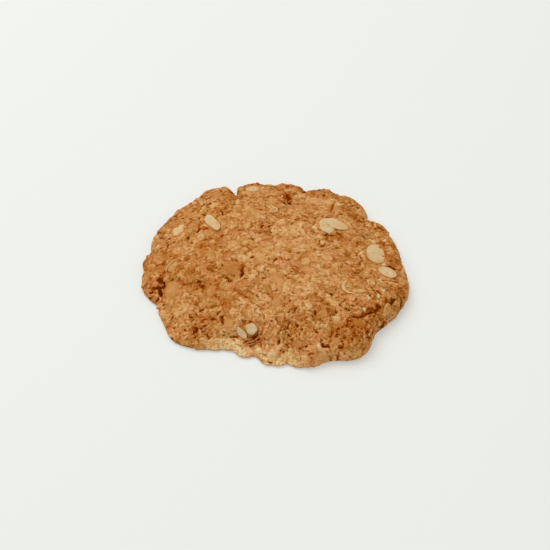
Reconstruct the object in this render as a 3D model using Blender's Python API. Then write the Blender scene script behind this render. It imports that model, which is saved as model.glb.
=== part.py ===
"""Anzac biscuit: one oat and coconut biscuit, spread and browned in the oven, as one solid.

The body is a low puck. Its outline is a circle with named lobes and notches, its side is a rounded
wall that is tall at the front right and thin at the left, and its top is a shallow crown with
swells, dents, pits and cracks. It rests on a flat underside at z = 0. +Z is up, +X the widest way.
"""

import math

import bmesh
import bpy
import numpy as np

MM = 0.001

# ---- outline, seen from above (mm; angles in degrees, 0 = +X, 90 = +Y) ----
BASE_RADIUS = 44.0
# (angle, how far it stands out, half width in degrees)
LOBES = (
    (-172.0, 2.7, 12.0),   # left lobe
    (-138.0, 1.9, 7.0),    # front left lobe
    (-52.0, 4.0, 9.0),     # front right lobe
    (-28.0, 1.5, 9.0),
    (-11.0, 3.9, 12.0),    # right lobe
    (13.0, 1.1, 9.0),
    (26.0, 1.2, 6.0),
    (51.0, 3.1, 9.0),      # back right lobe
    (66.0, 2.1, 7.0),
    (83.0, 1.0, 7.0),
    (98.0, 0.8, 5.0),
    (104.4, 0.7, 2.6),
    (122.0, 4.2, 8.0),     # back left lobe
    (138.0, 2.2, 9.0),
    (156.0, 3.1, 13.0),
    (174.0, 1.3, 3.0),
)
# (angle, depth, half width in degrees)
NOTCHES = (
    (-160.0, 1.8, 6.0),    # where the left lobe meets the front left one
    (-121.5, 2.9, 5.5),
    (-116.0, 1.6, 2.8),
    (-111.0, 5.8, 6.5),    # the broken bay in the front edge
    (-99.5, 5.2, 5.5),
    (-91.0, 1.6, 4.0),
    (-82.5, 2.5, 5.0),
    (-67.0, 0.6, 5.0),
    (-39.0, 0.6, 4.0),
    (35.0, 1.9, 4.0),
    (73.5, 2.2, 4.0),
    (82.0, 0.6, 6.0),
    (93.0, 1.2, 5.0),
    (110.2, 3.1, 1.8),
    (112.3, 5.0, 1.3),     # the sharp split in the back edge, steeper on its left
)

# ---- side wall ----
WALL_HEIGHT = 5.2          # up to the shoulder, where the crown begins
WALL_TALLER = (            # (angle, change in height, half width in degrees)
    (-42.0, 1.7, 30.0),
    (-5.0, 0.4, 25.0),
    (-138.0, -2.8, 30.0),
    (178.0, -1.3, 26.0),
    (-98.0, -1.6, 16.0),
)
SHOULDER = 5.0             # how far in from the outline the shoulder lies
SHOULDER_WIDER = (         # the front edge is crumbled into a low sloping lip
    (-98.0, 3.0, 16.0),
    (-38.0, -1.2, 24.0),
    (90.0, -0.8, 50.0),
    (-140.0, -1.8, 26.0),
    (175.0, -0.6, 26.0),
)
WALL_SHAPE = 2.1           # 2 is a quarter ellipse, 1 a straight slope
LIP_ANGLE, LIP_WIDTH, LIP_SHAPE = -100.0, 22.0, 1.25
BELLY = 0.28               # the widest level, as a share of the wall height
UNDERCUT = 1.5             # how far in the underside's rim lies

# ---- top ----
CROWN_HEIGHT = 9.8
SWELLS = ((23.0, 0.60, 3), (10.5, 0.50, 7), (5.0, 0.36, 11))   # (size, height, seed)
# (x, y, radius, depth): below zero it is a lump
DENTS = (
    (-39.6, -9.2, 2.2, 1.2),     # pit by the left lobe
    (-26.2, -11.2, 2.0, 0.7),
    (3.8, 34.2, 2.0, 1.7),       # pit near the back edge
    (-14.3, -5.6, 3.5, -0.75),   # round blister
    (-34.6, -12.4, 4.6, -0.70),  # smooth mound beside the pit
    (41.4, -0.4, 1.8, 0.7),
    (-10.0, 30.4, 2.0, 0.4),
    (-24.0, -27.6, 3.4, 0.5),
)
# (x0, y0, x1, y1, half width, depth)
CRACKS = (
    (-36.8, -6.4, -39.6, -9.4, 1.7, 0.7),
    (-39.6, -9.4, -39.8, -15.0, 1.7, 0.8),    # runs out towards the notch at the left
    (-11.0, -3.6, -10.8, -8.6, 1.7, 0.4),
    (-4.8, 13.2, -1.6, 15.6, 1.7, 0.4),
    (25.3, -26.8, 32.1, -23.3, 1.8, 0.5),     # under the right edge's overhang
    (32.1, -23.3, 37.6, -20.0, 1.9, 0.7),
    (37.6, -20.0, 42.2, -13.6, 1.9, 0.7),
    (22.0, 5.6, 9.0, 1.8, 1.7, 0.3),
    (9.8, -21.6, 17.0, -17.2, 1.7, 0.4),
    (-22.0, -29.6, -18.8, -31.0, 1.7, 0.4),
)

# ---- mesh ----
EDGE_STEP = 1.55           # distance between points
CROWN_RINGS, WALL_RINGS, FOOT_RINGS, UNDER_RINGS = 25, 7, 3, 7


def away(theta, centre):
    """Degrees from centre to theta, the short way round."""
    return (theta - centre + 180.0) % 360.0 - 180.0


def humps(theta, table, sharpness=2.0):
    total = np.zeros_like(theta)
    for angle, size, width in table:
        total += size * np.exp(-np.abs(away(theta, angle) / width) ** sharpness)
    return total


def outline(theta):
    return BASE_RADIUS + humps(theta, LOBES) - humps(theta, NOTCHES, 1.7)


def lattice_noise(points, seed):
    """Smooth gradient noise from -1 to 1, with features about 1 unit across."""
    cell = np.floor(points).astype(np.int64)
    part = points - cell
    ease = part ** 3 * (part * (part * 6.0 - 15.0) + 10.0)
    total = np.zeros(len(points))
    for corner in range(8):
        step = np.array([corner & 1, corner >> 1 & 1, corner >> 2 & 1])
        node = cell + step
        h = node[:, 0] * 73856093 ^ node[:, 1] * 19349663 ^ node[:, 2] * 83492791 ^ seed * 2654435761
        h = (h ^ h >> 13) * 1274126177 & 0x7FFFFFFF
        h = (h ^ h >> 15) * 461845907 & 0x7FFFFFFF
        turn = (h & 0xFFFF) / 65536.0 * 2.0 * math.pi
        lift = (h >> 16 & 0x7FFF) / 32768.0 * 2.0 - 1.0
        flat = np.sqrt(1.0 - lift * lift)
        arrow = np.stack([flat * np.cos(turn), flat * np.sin(turn), lift], axis=1)
        weight = np.prod(np.where(step, ease, 1.0 - ease), axis=1)
        total += weight * np.einsum("ij,ij->i", arrow, part - step)
    return total * 1.6


def body_point(theta, along, zone):
    """(x, y, z) of the plain body before its relief. zone is crown, wall, foot or under."""
    reach = outline(theta)
    height = WALL_HEIGHT + humps(theta, WALL_TALLER)
    inset = SHOULDER + humps(theta, SHOULDER_WIDER)
    belly = BELLY * height
    if zone == "crown":        # along 0 at the middle, 1 at the shoulder
        even = BASE_RADIUS - SHOULDER
        share = along ** 3
        r = along * ((1.0 - share) * even + share * (reach - inset))
        z = height + (CROWN_HEIGHT - height) * (1.0 - along ** 2.4)
    elif zone == "wall":       # along 0 at the shoulder, 1 at the belly
        lip = np.exp(-(away(theta, LIP_ANGLE) / LIP_WIDTH) ** 2)
        shape = WALL_SHAPE + (LIP_SHAPE - WALL_SHAPE) * lip
        turn = np.radians(90.0 * (1.0 - along))
        r = reach - inset * (1.0 - np.cos(turn) ** (2.0 / shape))
        z = belly + (height - belly) * np.sin(turn) ** (2.0 / shape)
    elif zone == "foot":       # along 0 at the belly, 1 at the underside
        turn = math.radians(90.0 * along)
        r = reach - UNDERCUT * (1.0 - math.cos(turn))
        z = belly * (1.0 - math.sin(turn))
    else:                      # along 0 at the underside's rim, 1 at its middle
        share = (1.0 - along) ** 3
        r = (1.0 - along) * ((1.0 - share) * (BASE_RADIUS - UNDERCUT) + share * (reach - UNDERCUT))
        z = 0.0 * reach
    a = np.radians(theta)
    return np.stack([r * np.cos(a), r * np.sin(a), z], axis=1)


def relief(p):
    """How far the surface at p stands out from the plain body."""
    d = np.zeros(len(p))
    for size, height, seed in SWELLS:
        d += height * lattice_noise(p / size, seed)
    for x, y, radius, depth in DENTS:
        away2 = (p[:, 0] - x) ** 2 + (p[:, 1] - y) ** 2
        d -= depth * np.exp(-(away2 / radius ** 2) ** 1.3)
    for x0, y0, x1, y1, half, depth in CRACKS:
        run = np.array([x1 - x0, y1 - y0])
        t = np.clip(((p[:, :2] - [x0, y0]) @ run) / (run @ run), 0.0, 1.0)
        off = np.hypot(p[:, 0] - x0 - t * run[0], p[:, 1] - y0 - t * run[1])
        d -= depth * np.exp(-(off / half) ** 2)
    return d


def ring(bm, theta, along, zone):
    return [bm.verts.new(v) for v in body_point(theta, along, zone)]


def zip_rings(bm, outer, inner):
    """Triangles between two rings that share a start angle but may differ in count."""
    n, m, i, j = len(outer), len(inner), 0, 0
    while i < n or j < m:
        if j >= m or (i < n and (i + 0.5) / n <= (j + 0.5) / m):
            bm.faces.new((outer[i % n], outer[(i + 1) % n], inner[j % m]))
            i += 1
        else:
            bm.faces.new((outer[i % n], inner[(j + 1) % m], inner[j % m]))
            j += 1


def angles(count):
    return np.arange(count) * 360.0 / count


def biscuit_mesh():
    bm = bmesh.new()
    full = int(round(2.0 * math.pi * BASE_RADIUS / EDGE_STEP))
    t = angles(full)
    # rings from the middle of the top, over the edge, to the middle of the underside
    rings = []
    for k in range(1, CROWN_RINGS):
        share = k / CROWN_RINGS
        rings.append(ring(bm, angles(max(6, int(round(full * share)))), share, "crown"))
    for k in range(WALL_RINGS):
        rings.append(ring(bm, t, k / WALL_RINGS, "wall"))
    for k in range(FOOT_RINGS):
        rings.append(ring(bm, t, k / FOOT_RINGS, "foot"))
    for k in range(UNDER_RINGS):
        share = k / UNDER_RINGS
        rings.append(ring(bm, angles(max(6, int(round(full * (1.0 - share))))), share, "under"))
    for inner, outer in zip(rings, rings[1:]):
        zip_rings(bm, outer, inner)
    for end, zone, along in ((rings[0], "crown", 0.0), (rings[-1], "under", 1.0)):
        middle = bm.verts.new(body_point(np.zeros(1), along, zone)[0])
        for a, b in zip(end, end[1:] + end[:1]):
            bm.faces.new((a, b, middle))
    bmesh.ops.recalc_face_normals(bm, faces=bm.faces)
    bm.normal_update()

    # relief along the body's own normals, fading to nothing at the flat underside
    bm.verts.ensure_lookup_table()
    p = np.array([v.co for v in bm.verts])
    n = np.array([v.normal for v in bm.verts])
    fade = np.clip(p[:, 2] / 1.6, 0.0, 1.0)
    p = p + n * (relief(p) * fade * fade * (3.0 - 2.0 * fade))[:, None]
    # the origin goes to the middle of the box, at the underside
    lo, hi = p.min(axis=0), p.max(axis=0)
    p -= [0.5 * (lo[0] + hi[0]), 0.5 * (lo[1] + hi[1]), 0.0]
    for v, q in zip(bm.verts, p * MM):
        v.co = q

    mesh = bpy.data.meshes.new("biscuit")
    bm.to_mesh(mesh)
    bm.free()
    mesh.shade_smooth()
    mesh.set_sharp_from_angle(angle=math.radians(50.0))
    return mesh


def baked_crust():
    material = bpy.data.materials.new("baked_crust")
    material.use_nodes = True
    shader = material.node_tree.nodes["Principled BSDF"]
    shader.inputs["Base Color"].default_value = (0.50, 0.23, 0.075, 1.0)
    shader.inputs["Roughness"].default_value = 0.82
    shader.inputs["Metallic"].default_value = 0.0
    return material


def main():
    for obj in list(bpy.data.objects):
        bpy.data.objects.remove(obj, do_unlink=True)
    biscuit = bpy.data.objects.new("biscuit", biscuit_mesh())
    biscuit.data.materials.append(baked_crust())
    bpy.context.scene.collection.objects.link(biscuit)


main()
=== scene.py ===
"""Anzac biscuit: the baked oat and coconut surface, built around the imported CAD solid.

Everything is worked out in millimetres (+Z up, -Y towards the viewer) from the middle of the circle
that the outline is built on. new_object() moves it to the part's own origin and turns it into metres.
"""

import math

import bpy
import numpy as np
from mathutils import Matrix, Vector
from mathutils.kdtree import KDTree


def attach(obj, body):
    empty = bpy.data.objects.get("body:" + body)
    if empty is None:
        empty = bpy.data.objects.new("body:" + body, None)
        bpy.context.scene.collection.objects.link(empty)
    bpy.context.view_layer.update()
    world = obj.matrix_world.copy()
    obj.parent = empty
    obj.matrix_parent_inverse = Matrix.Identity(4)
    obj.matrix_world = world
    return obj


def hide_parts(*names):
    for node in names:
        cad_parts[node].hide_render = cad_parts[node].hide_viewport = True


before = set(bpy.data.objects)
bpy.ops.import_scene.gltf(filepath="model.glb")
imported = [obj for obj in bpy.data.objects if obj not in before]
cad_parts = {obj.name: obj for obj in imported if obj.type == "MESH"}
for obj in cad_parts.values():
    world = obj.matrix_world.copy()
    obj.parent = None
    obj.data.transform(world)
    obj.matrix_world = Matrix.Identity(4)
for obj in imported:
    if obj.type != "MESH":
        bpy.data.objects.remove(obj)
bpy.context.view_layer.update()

MM = 0.001
rng = np.random.default_rng(4107)

# ------------------------------------------------------------------ the body: the CAD's, with the small notches of the outline a little finer (mm, degrees)
BASE_RADIUS = 44.0
BOX_CENTRE = np.array([0.511, 1.152])      # the part's origin, counted from the middle of that circle
LOBES = (
    (-172.0, 2.9, 12.0), (-138.0, 2.2, 7.0), (-52.0, 4.0, 9.0), (-28.0, 1.5, 9.0),
    (-11.0, 3.9, 12.0), (1.5, 0.8, 4.5), (14.0, 1.3, 8.0), (26.0, 1.3, 6.0), (51.0, 3.1, 9.0), (66.0, 2.1, 7.0), (83.0, 1.0, 7.0),
    (97.0, 0.3, 5.0), (105.2, 0.2, 3.2), (115.3, 1.3, 2.0), (122.8, 3.5, 8.0), (138.0, 2.3, 9.0), (156.0, 3.1, 13.0), (175.0, 1.9, 4.0),
)
NOTCHES = (
    (-158.8, 1.5, 4.4), (-121.5, 2.3, 5.5), (-116.0, 1.3, 2.8), (-111.0, 5.5, 6.5), (-99.5, 5.3, 5.5), (-91.0, 1.6, 4.0), (-84.0, 2.4, 3.8),
    (-67.0, 0.6, 5.0), (-39.0, 0.6, 4.0), (36.6, 2.2, 3.2), (73.5, 2.2, 4.0), (93.0, 1.0, 5.0),
    (110.9, 3.6, 1.3), (112.4, 4.2, 0.8),
)
WALL_HEIGHT = 5.2
WALL_TALLER = (
    (-42.0, 1.7, 30.0), (-5.0, 0.4, 25.0), (-138.0, -2.8, 30.0), (178.0, -1.3, 26.0), (-98.0, -1.6, 16.0),
)
SHOULDER = 5.0
SHOULDER_WIDER = ((-98.0, 3.0, 16.0), (-38.0, -1.2, 24.0), (90.0, -0.8, 50.0), (-140.0, -1.8, 26.0), (175.0, -0.6, 26.0))
WALL_SHAPE = 2.1
LIP_ANGLE, LIP_WIDTH, LIP_SHAPE = -100.0, 22.0, 1.25
BELLY = 0.28
UNDERCUT = 1.5
CROWN_HEIGHT = 9.8
SWELLS = ((23.0, 0.60, 3), (10.5, 0.50, 7), (5.0, 0.36, 11))

# ------------------------------------------------------------------ what can be seen on the top
# mm, counted from the middle of the circle. (x, y, radius, depth): below zero it is a lump
DENTS = (
    (-39.6, -9.2, 1.7, 1.5),      # pit by the left lobe
    (-26.2, -11.2, 1.5, 0.9),
    (3.8, 34.2, 1.8, 1.3),        # pit near the back edge
    (5.3, 29.6, 0.8, 1.0),
    (2.7, 29.2, 0.7, 0.8),
    (-14.3, -5.6, 3.5, -0.75),    # round blister
    (-34.6, -12.4, 4.6, -0.70),   # smooth mound beside the pit
    (41.4, -0.4, 1.3, 0.9),
    (-10.8, 34.0, 0.8, 0.7),
    (-8.9, 29.4, 0.8, 0.8),
    (-11.8, 29.6, 0.7, 0.7),
    (-7.4, 26.4, 0.7, 0.6),
    (-24.0, -27.6, 3.4, 0.5),
)
# small hollows, slits and cracks: (x0, y0, x1, y1, half width, depth, how much browner and darker: partly browning,
# partly painted shade in the hollow)
MARKS = (
    # the left side
    (-24.7, -8.2, -24.7, -8.2, 0.45, 0.5, 0.30), (-27.8, -9.3, -26.8, -9.1, 0.40, 0.7, 0.35),
    (-26.8, -9.1, -25.5, -10.1, 0.40, 0.7, 0.35), (-24.9, -12.0, -24.9, -12.0, 0.65, 0.6, 0.30),
    # the left pit
    (-41.0, -5.8, -39.7, -6.0, 0.90, 0.8, 0.30), (-39.1, -6.6, -38.6, -8.3, 0.60, 1.4, 0.50),
    (-41.3, -9.5, -38.9, -9.7, 0.40, 1.0, 0.45), (-40.0, -10.1, -39.1, -12.9, 0.50, 1.2, 0.45),
    (-40.4, -14.1, -40.4, -14.1, 0.60, 0.5, 0.30),
    # the middle
    (-7.1, 0.1, -8.6, -1.1, 0.40, 0.5, 0.28), (0.4, -1.0, -0.7, -2.7, 0.35, 0.5, 0.28),
    (7.2, -6.1, 7.2, -6.1, 0.60, 0.5, 0.30), (-5.9, -17.6, -5.9, -17.6, 0.40, 0.4, 0.28),
    # round the blister
    (-11.0, -4.6, -11.3, -8.8, 0.80, 0.5, 0.26), (-11.3, -8.2, -11.2, -9.7, 0.50, 0.6, 0.30),
    # the back
    (3.8, 34.6, 4.3, 32.6, 1.10, 1.0, 0.40), (4.9, 30.6, 5.5, 29.2, 0.55, 0.9, 0.48),
    (2.5, 29.9, 3.9, 29.4, 0.55, 0.8, 0.35), (-10.8, 34.4, -10.8, 34.4, 0.50, 0.4, 0.28),
    (-8.8, 28.7, -8.8, 28.7, 0.40, 0.7, 0.45), (-9.6, 27.9, -9.6, 27.9, 0.40, 0.4, 0.28),
    (-7.2, 26.2, -7.2, 26.2, 0.35, 0.5, 0.35), (-5.2, 12.4, -4.6, 15.7, 0.45, 0.5, 0.35),
    (-3.5, 14.1, -1.2, 15.7, 0.35, 0.5, 0.32),
    # the back right
    (18.1, 11.5, 20.9, 11.3, 0.35, 0.6, 0.35), (22.1, 13.2, 23.2, 12.6, 0.40, 0.5, 0.28),
    (20.3, 10.4, 21.3, 10.3, 0.35, 0.4, 0.28), (18.9, 21.9, 18.9, 21.9, 0.45, 0.4, 0.28),
    (24.1, 24.1, 24.1, 24.1, 0.45, 0.4, 0.28),
    # the right
    (39.1, -1.0, 43.3, -1.7, 0.45, 0.7, 0.40), (16.2, 5.4, 17.8, 6.8, 0.30, 0.5, 0.28),
    (18.8, -16.7, 19.4, -17.4, 0.45, 0.4, 0.28), (21.1, -18.4, 21.1, -18.4, 0.45, 0.5, 0.35),
    (33.1, -12.8, 33.5, -12.1, 0.40, 0.4, 0.30), (33.9, -13.6, 35.5, -14.1, 0.30, 0.4, 0.30),
    (41.6, -15.0, 39.3, -19.3, 0.60, 0.7, 0.34), (34.1, -20.2, 35.9, -20.4, 1.20, 0.5, 0.25),
    # the front left
    (-28.3, -23.3, -28.3, -23.3, 0.60, 0.5, 0.30), (-25.0, -21.7, -23.5, -21.3, 0.45, 0.4, 0.28),
    (-19.1, -24.1, -18.3, -23.2, 0.40, 0.5, 0.35), (-17.4, -25.2, -17.2, -25.9, 0.45, 0.6, 0.40),
    (-17.2, -26.7, -17.0, -27.7, 0.35, 0.5, 0.35), (-23.5, -27.8, -22.2, -27.6, 0.40, 0.5, 0.32),
    (-25.8, -28.2, -25.8, -29.2, 0.45, 0.9, 0.50), (-24.5, -28.4, -24.5, -28.4, 0.40, 0.6, 0.35),
    (-23.8, -29.9, -21.8, -31.4, 0.40, 0.5, 0.35), (-14.5, -31.3, -11.7, -30.9, 0.38, 0.9, 0.50),
    # the front
    (1.8, -34.2, 1.7, -34.8, 0.35, 0.8, 0.50), (4.0, -35.4, 4.0, -35.4, 0.35, 0.7, 0.45),
    (5.0, -34.4, 6.2, -34.4, 0.35, 0.5, 0.35), (5.1, -35.3, 6.1, -35.4, 0.28, 0.4, 0.30),
    (4.9, -28.5, 3.1, -30.9, 0.38, 0.5, 0.30), (4.5, -32.6, 5.0, -32.9, 0.40, 0.5, 0.30),
    (7.7, -29.8, 7.7, -29.8, 0.45, 0.7, 0.45), (9.2, -31.2, 9.2, -31.2, 0.40, 0.6, 0.45),
    (13.8, -32.2, 14.7, -32.1, 0.30, 0.4, 0.28), (6.4, -24.6, 7.3, -22.7, 0.35, 0.4, 0.28),
    (12.6, -26.2, 14.1, -24.6, 0.30, 0.5, 0.35), (14.1, -24.6, 15.8, -23.5, 0.30, 0.5, 0.35),
    (-8.1, -27.2, -7.5, -27.0, 0.40, 0.4, 0.28), (-6.4, -35.0, -6.1, -35.9, 0.40, 0.6, 0.35),
    (-3.8, -38.5, -3.1, -38.3, 0.40, 0.6, 0.40), (-7.5, -32.0, -5.5, -30.5, 0.35, 0.5, 0.35),
    (-8.6, -32.9, -6.9, -33.8, 0.50, 0.5, 0.35), (-6.7, -33.2, -5.1, -32.3, 0.35, 0.4, 0.30),
    (15.4, -35.2, 16.2, -37.1, 0.60, 0.5, 0.35), (11.0, -39.5, 11.5, -40.1, 0.40, 0.5, 0.30),
    (11.5, -40.1, 12.6, -39.8, 0.45, 0.5, 0.30), (8.0, -40.3, 8.0, -40.3, 0.45, 0.4, 0.28),
    # the front right
    (23.7, -22.5, 25.8, -23.6, 0.30, 0.5, 0.30), (30.0, -25.1, 31.9, -23.8, 0.50, 0.5, 0.30),
    (31.9, -23.8, 33.8, -23.2, 0.45, 0.6, 0.34), (33.8, -23.2, 35.8, -20.0, 0.60, 0.6, 0.30),
    (40.0, -17.3, 39.9, -18.9, 0.50, 0.6, 0.35), (25.8, -26.2, 28.6, -25.7, 0.40, 0.5, 0.28),
    (36.3, -25.4, 37.0, -25.2, 0.40, 0.5, 0.30), (31.0, -31.4, 31.0, -31.4, 0.40, 0.5, 0.30),
    (15.6, -36.7, 16.4, -37.6, 0.35, 0.5, 0.35), (16.4, -37.6, 18.0, -37.2, 0.40, 0.6, 0.45),
    (21.5, -37.5, 21.5, -37.5, 0.45, 0.5, 0.35), (20.7, -39.4, 21.1, -39.4, 0.40, 0.4, 0.28),
    # round the oats at the back left
    (-35.7, 13.7, -35.7, 13.7, 0.45, 0.7, 0.40), (-38.2, 13.0, -37.6, 12.9, 0.40, 0.5, 0.32),
    (-33.7, 23.3, -33.7, 23.3, 0.40, 0.4, 0.28), (-26.7, 24.3, -25.7, 23.6, 0.50, 0.5, 0.30),
    (-27.2, 16.4, -27.8, 14.3, 0.40, 0.5, 0.30), (-31.1, 12.6, -31.2, 10.7, 0.45, 0.4, 0.28),
    (-19.2, 24.7, -19.1, 22.3, 0.35, 0.4, 0.30), (-23.9, 30.1, -23.9, 30.1, 0.45, 0.5, 0.30),
    (-22.3, 30.9, -22.3, 30.9, 0.40, 0.4, 0.28),
    # broad ones: round the blister, under the right edge, across the middle
    (-12.2, -5.0, -11.0, -7.0, 0.70, 0.4, 0.22), (-17.2, -8.8, -15.2, -11.0, 0.70, 0.4, 0.25),
    (25.3, -26.8, 32.1, -23.3, 1.20, 0.4, 0.12), (32.1, -23.3, 37.6, -20.0, 2.00, 0.5, 0.18),
    (37.6, -20.0, 42.2, -13.6, 2.00, 0.35, 0.14), (22.0, 5.6, 9.0, 1.8, 0.50, 0.3, 0.08),
)

# smooth plates of dough: (x, y, half across, half along y, shade, hue, bulge)
PLATES = (
    (-40.2, -0.8, 1.8, 1.8, 0.50, 0.8, 0.0),
    (-5.2, -2.4, 1.7, 1.7, 0.45, -0.9, 0.15), (0.4, -10.2, 1.9, 2.9, 0.48, 0.3, 0.12),
    (0.7, -19.5, 1.5, 2.4, 0.46, 0.3, 0.08), (-21.7, -14.5, 1.8, 2.2, 0.48, 0.0, 0.25),
    (-24.5, -4.2, 1.3, 1.7, 0.50, 1.0, 0.08), (-14.6, -5.5, 3.1, 2.7, 0.56, 0.9, 0.35),
    (-35.2, -10.9, 3.2, 3.4, 0.48, 0.0, 0.25), (-28.6, 1.5, 1.1, 1.2, 0.44, -0.4, 0.10),
    (25.2, -3.4, 1.6, 1.6, 0.50, 0.8, 0.10), (15.2, 31.1, 1.5, 1.5, 0.42, -0.2, 0.10),
    (-8.3, 22.2, 1.8, 3.2, 0.50, -0.8, 0.05), (-14.1, 12.9, 1.1, 2.3, 0.53, 0.9, 0.05),
    (-1.9, 29.1, 1.5, 1.6, 0.47, 0.0, 0.10), (11.3, -5.9, 2.0, 1.9, 0.48, 0.7, 0.12),
    (-15.1, -27.5, 1.6, 2.1, 0.47, -0.4, 0.10), (20.7, -29.3, 2.3, 1.5, 0.52, -0.3, 0.05),
    (15.8, -24.9, 1.9, 2.0, 0.46, 0.5, 0.10), (27.7, -28.5, 1.8, 1.7, 0.64, 0.3, 0.05),
    (16.1, -39.9, 1.6, 1.4, 0.47, 0.2, 0.10), (-44.4, -4.5, 1.0, 3.2, 0.50, 0.1, 0.10),
    (-21.6, 35.6, 2.1, 1.6, 0.57, 0.9, 0.10), (-17.6, 33.4, 1.2, 2.0, 0.62, 0.9, 0.05),
    (-32.2, 26.2, 1.8, 1.5, 0.53, 0.9, 0.10), (-28.3, 20.4, 0.9, 1.3, 0.50, -0.9, 0.05),
    (-36.3, -18.3, 1.3, 1.6, 0.52, -0.2, 0.05),
)

# the pale whole oats: x, y, length, width, turn, crease, bow, sink, roast, rim roast, taper, bend, fade along it,
# and notches in the rim (angle, depth, half width)
WHOLE_OATS = (
    (-22.5, 18.2, 10.6, 3.9, -66.0, 0.16, 0.03, 0.04, 0.24, -0.05, 0.20, 0.38, 0.07, ((85.0, 0.12, 20.0), (-95.0, 0.10, 18.0))),
    (-34.8, 17.3, 7.4, 4.6, 72.0, 0.06, 0.05, 0.14, 0.20, 0.16, 0.15, 0.0, 0.05, ((140.0, 0.18, 30.0), (-60.0, 0.15, 25.0), (60.0, 0.10, 20.0))),
    (18.9, 16.6, 8.8, 5.8, 86.0, 0.05, 0.04, 0.04, 0.23, -0.05, 0.05, 0.0, 0.0, ((20.0, 0.06, 25.0),)),
    (22.4, 17.6, 8.8, 4.8, -25.0, 0.14, 0.03, -0.26, 0.25, -0.04, 0.24, -0.10, 0.07, ()),
    (35.8, 4.7, 9.6, 7.5, 86.0, 0.02, 0.04, 0.02, 0.20, 0.02, 0.0, 0.0, -0.03, ()),
    (39.4, -3.9, 6.9, 5.4, -30.0, 0.26, 0.04, -0.02, 0.19, 0.06, 0.05, 0.0, 0.0, ((180.0, 0.06, 14.0),)),
    (-8.5, 38.8, 5.2, 3.2, 3.0, 0.04, 0.0, 0.02, 0.27, 0.06, 0.0, 0.0, 0.0, ()),
    (-7.7, -29.5, 4.1, 4.1, 5.0, 0.04, 0.05, 0.00, 0.14, 0.14, 0.0, 0.0, -0.08, ((-150.0, 0.16, 30.0), (105.0, 0.10, 22.0), (-50.0, 0.08, 16.0))),
    (-26.3, 11.7, 4.0, 2.9, 80.0, 0.04, 0.0, 0.12, 0.36, 0.10, 0.0, 0.0, 0.0, ()),
    (-36.0, -0.6, 5.8, 3.7, 70.0, 0.05, 0.04, 0.12, 0.48, 0.04, 0.0, 0.0, 0.0, ()),
    (24.8, -13.2, 7.0, 4.0, 88.0, 0.25, 0.04, 0.06, 0.50, 0.04, 0.0, 0.2, 0.0, ()),
    (28.9, -14.6, 5.4, 1.8, 3.0, 0.0, 0.05, 0.04, 0.34, 0.08, 0.2, 0.2, 0.0, ()),
    (38.1, -20.9, 4.8, 2.4, 78.0, 0.10, 0.04, 0.10, 0.52, -0.10, 0.0, 0.0, 0.0, ()),
    (-10.7, -30.0, 5.2, 2.6, 97.0, 0.05, 0.06, -0.35, 0.12, 0.06, 0.10, 0.15, 0.0, ()),
)

# pale scraps of oat: (x, y, length, width, turn, roast)
PALE_SCRAPS = (
    (-41.8, 10.0, 2.4, 1.2, 67, 0.24), (-29.9, -1.5, 1.4, 0.8, -38, 0.24), (-1.4, 5.5, 1.2, 1.0, 83, 0.26),
    (0.1, 5.2, 1.0, 0.8, 67, 0.26), (2.9, 3.5, 1.4, 1.0, 49, 0.26), (1.2, 0.6, 2.0, 1.6, 38, 0.24),
    (-7.5, -3.6, 1.3, 1.0, -27, 0.26), (-5.0, -16.4, 1.6, 2.4, 14, 0.24), (8.1, -14.6, 2.0, 1.8, 27, 0.26),
    (3.9, -12.7, 2.6, 0.9, 27, 0.32), (-10.6, -2.2, 2.4, 2.0, 0, 0.36), (3.3, 27.9, 1.8, 1.0, 0, 0.26),
    (7.2, 14.4, 2.6, 1.2, 7, 0.28), (1.9, 12.8, 2.4, 1.8, 27, 0.3), (7.8, 26.0, 1.2, 0.7, -49, 0.26),
    (23.4, 30.0, 1.6, 1.8, 75, 0.22), (28.8, 31.7, 1.0, 1.2, 67, 0.22), (30.5, 17.3, 0.9, 1.4, 83, 0.22),
    (37.4, 17.6, 0.8, 1.6, 86, 0.24), (39.4, 12.1, 1.6, 1.4, 27, 0.14), (-39.3, 15.2, 1.4, 1.8, 83, 0.26),
    (38.3, 0.0, 1.8, 1.4, -14, 0.14), (36.3, -8.3, 1.8, 1.4, 27, 0.24), (37.1, -13.2, 1.9, 2.0, 49, 0.13),
    (35.4, -15.9, 1.2, 2.4, 7, 0.15), (31.8, -17.2, 1.2, 2.6, 7, 0.14), (30.3, -22.0, 1.4, 2.2, 14, 0.13),
    (24.3, -2.6, 1.3, 0.8, 38, 0.24), (-28.3, -27.5, 1.2, 0.9, 27, 0.24), (-31.2, -26.5, 2.6, 1.4, 38, 0.28),
    (-23.9, -32.4, 2.6, 1.4, 14, 0.32), (-11.2, -23.0, 1.0, 1.0, 0, 0.24), (21.2, -26.7, 2.4, 1.2, 14, 0.22),
    (37.0, -23.3, 1.0, 1.2, 67, 0.26), (31.4, -32.3, 1.2, 1.0, 14, 0.26), (-2.5, -35.3, 1.5, 1.9, 14, 0.26),
    (-10.3, -36.5, 2.2, 1.2, 33, 0.14), (2.7, -31.6, 2.0, 1.0, 27, 0.26),
)


def away(theta, centre):
    """Degrees from centre to theta, the short way round."""
    return (theta - centre + 180.0) % 360.0 - 180.0


def humps(theta, table, sharpness=2.0):
    total = np.zeros_like(theta)
    for angle, size, width in table:
        total += size * np.exp(-np.abs(away(theta, angle) / width) ** sharpness)
    return total


def smooth(low, high, x):
    t = np.clip((x - low) / (high - low), 0.0, 1.0)
    return t * t * (3.0 - 2.0 * t)


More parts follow.
